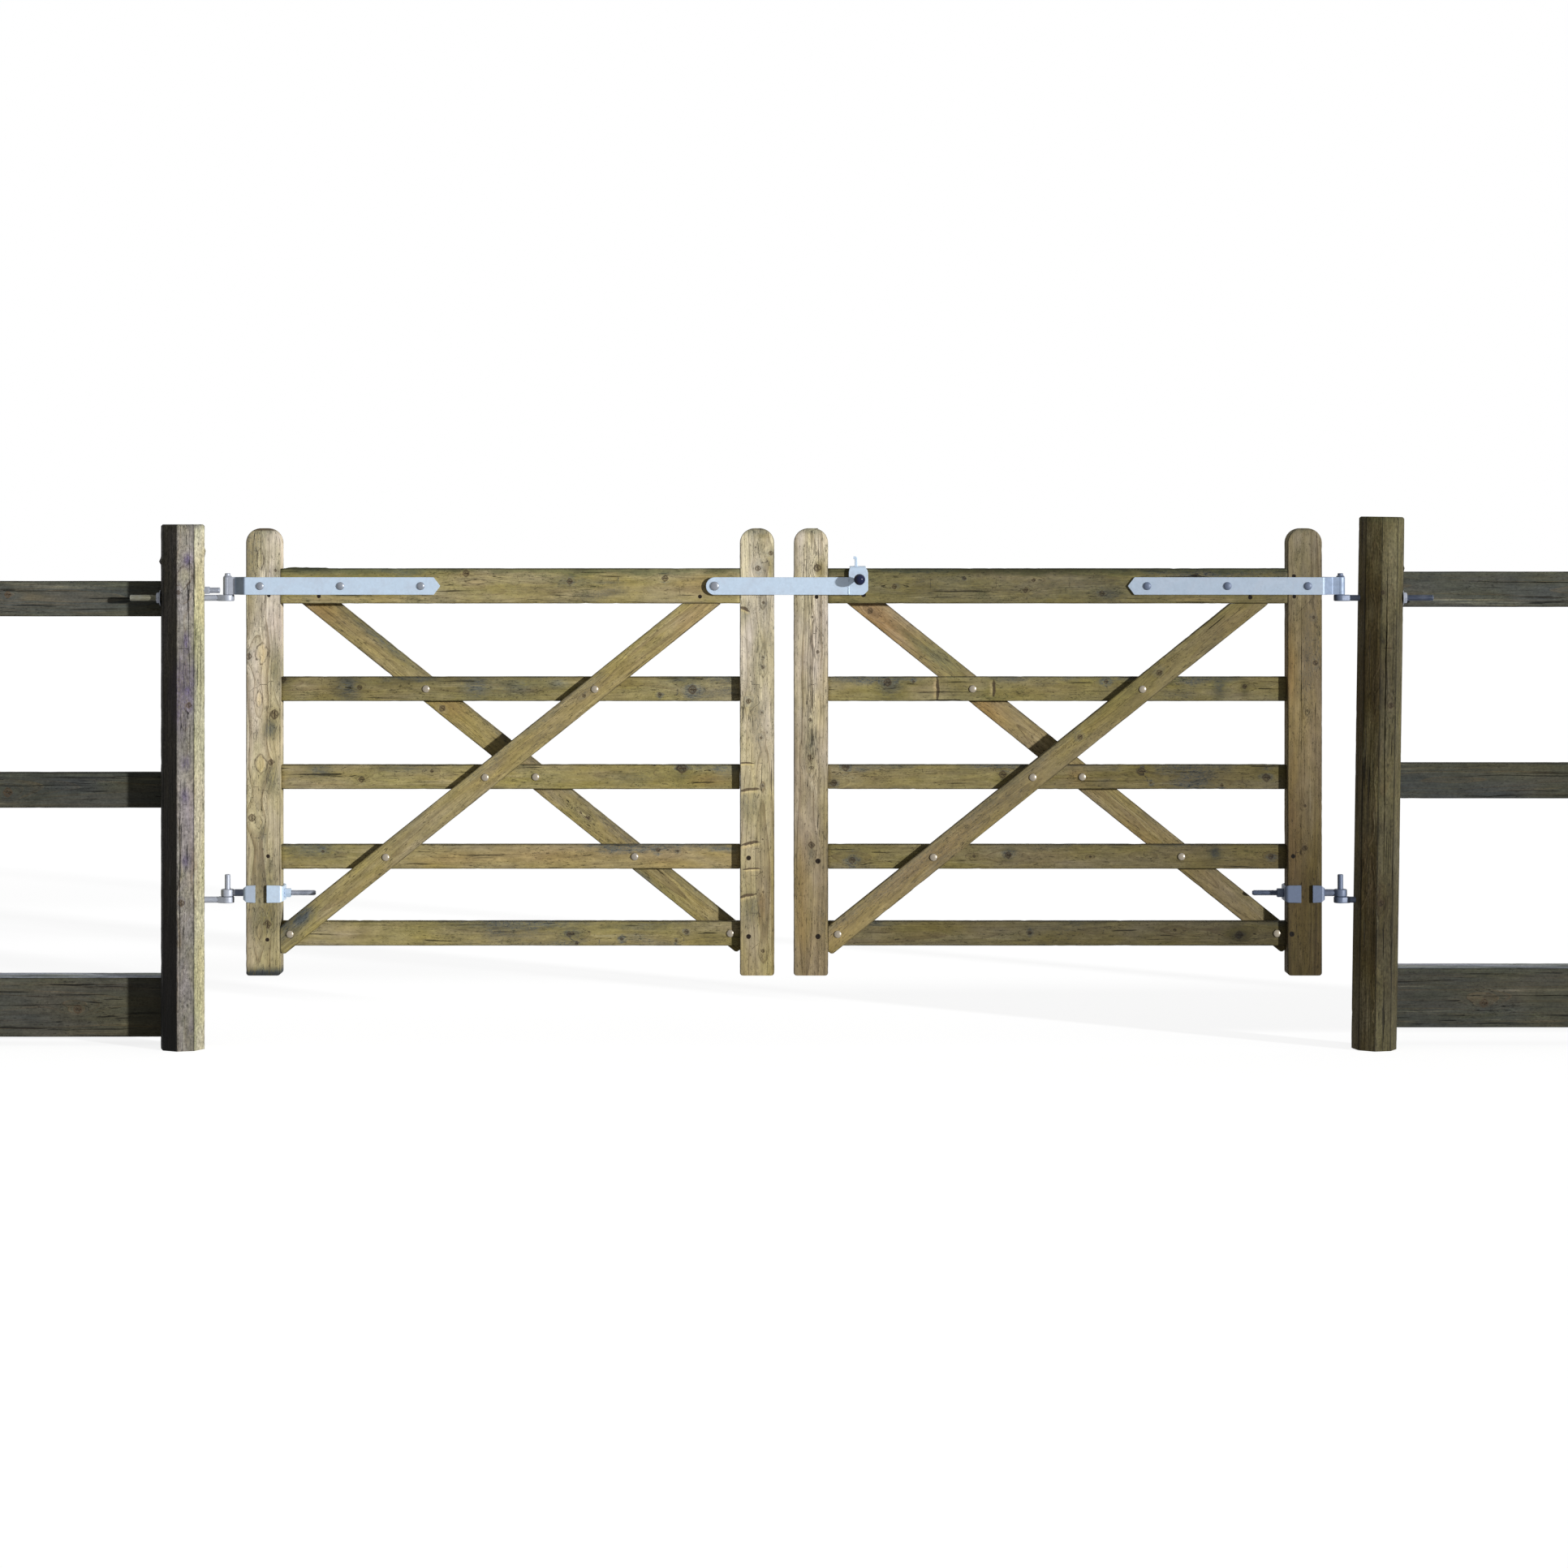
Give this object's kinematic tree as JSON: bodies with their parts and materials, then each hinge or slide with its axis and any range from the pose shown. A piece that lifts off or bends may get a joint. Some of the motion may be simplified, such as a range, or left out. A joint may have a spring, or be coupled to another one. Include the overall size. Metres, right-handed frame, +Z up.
{
  "type": "paddock gate",
  "caption": "Pair of braced timber paddock gate leaves hung on octagonal posts with galvanised strap hinges and a throw-over latch, with a bay of post and rail fence each side.",
  "frame": {"origin": "centre of the left gate post's foot, level with the ground", "axes": "+X along the gate towards the right post, +Y from the front of the gate to its back, +Z up"},
  "size_m": [7.1115, 0.2625, 1.5147],
  "materials": {
    "leaf_timber": "weathered, pressure treated softwood, sawn",
    "post_timber": "weathered, pressure treated softwood, planed octagon",
    "fence_timber": "weathered, stained by algae, sawn",
    "galvanised_steel": "hot-dip galvanised, dull",
    "knob_plastic": "gloss"
  },
  "bodies": {
    "posts": {"left_post": "post_timber", "right_post": "post_timber", "left_top_hook": "galvanised_steel", "right_top_hook": "galvanised_steel", "left_bottom_hook": "galvanised_steel", "right_bottom_hook": "galvanised_steel", "left_hook_nuts": "galvanised_steel", "right_hook_nuts": "galvanised_steel", "left_fence_panel": "fence_timber", "right_fence_panel": "fence_timber", "left_fence_post": "fence_timber", "right_fence_post": "fence_timber"},
    "left_leaf": {"left_hanging_stile": "leaf_timber", "left_shutting_stile": "leaf_timber", "left_top_rail": "leaf_timber", "left_second_rail": "leaf_timber", "left_third_rail": "leaf_timber", "left_fourth_rail": "leaf_timber", "left_bottom_rail": "leaf_timber", "left_front_brace": "leaf_timber", "left_back_brace": "leaf_timber", "left_top_band": "galvanised_steel", "left_band_bolts": "galvanised_steel", "left_bottom_eye": "galvanised_steel", "left_stirrups": "galvanised_steel", "left_brace_bolts": "galvanised_steel", "latch_bolt": "galvanised_steel"},
    "right_leaf": {"right_hanging_stile": "leaf_timber", "right_shutting_stile": "leaf_timber", "right_top_rail": "leaf_timber", "right_second_rail": "leaf_timber", "right_third_rail": "leaf_timber", "right_fourth_rail": "leaf_timber", "right_bottom_rail": "leaf_timber", "right_front_brace": "leaf_timber", "right_back_brace": "leaf_timber", "right_top_band": "galvanised_steel", "right_band_bolts": "galvanised_steel", "right_bottom_eye": "galvanised_steel", "right_stirrups": "galvanised_steel", "right_brace_bolts": "galvanised_steel"},
    "latch": {"latch_strap": "galvanised_steel", "latch_tongue": "galvanised_steel", "latch_knob": "knob_plastic"}
  },
  "joints": [
    {"name": "left_leaf_swing", "type": "hinge", "parent": "posts", "child": "left_leaf", "pos_m": [0.128, 0, 0.212], "axis": [0, 0, -1], "range_deg": [0, 100]},
    {"name": "right_leaf_swing", "type": "hinge", "parent": "posts", "child": "right_leaf", "pos_m": [3.297, 0, 0.212], "axis": [0, 0, -1], "range_deg": [0, 90]},
    {"name": "latch_lift", "type": "hinge", "parent": "left_leaf", "child": "latch", "pos_m": [1.516, -0.043, 1.318], "axis": [0, -1, 0], "range_deg": [0, 160]}
  ]
}
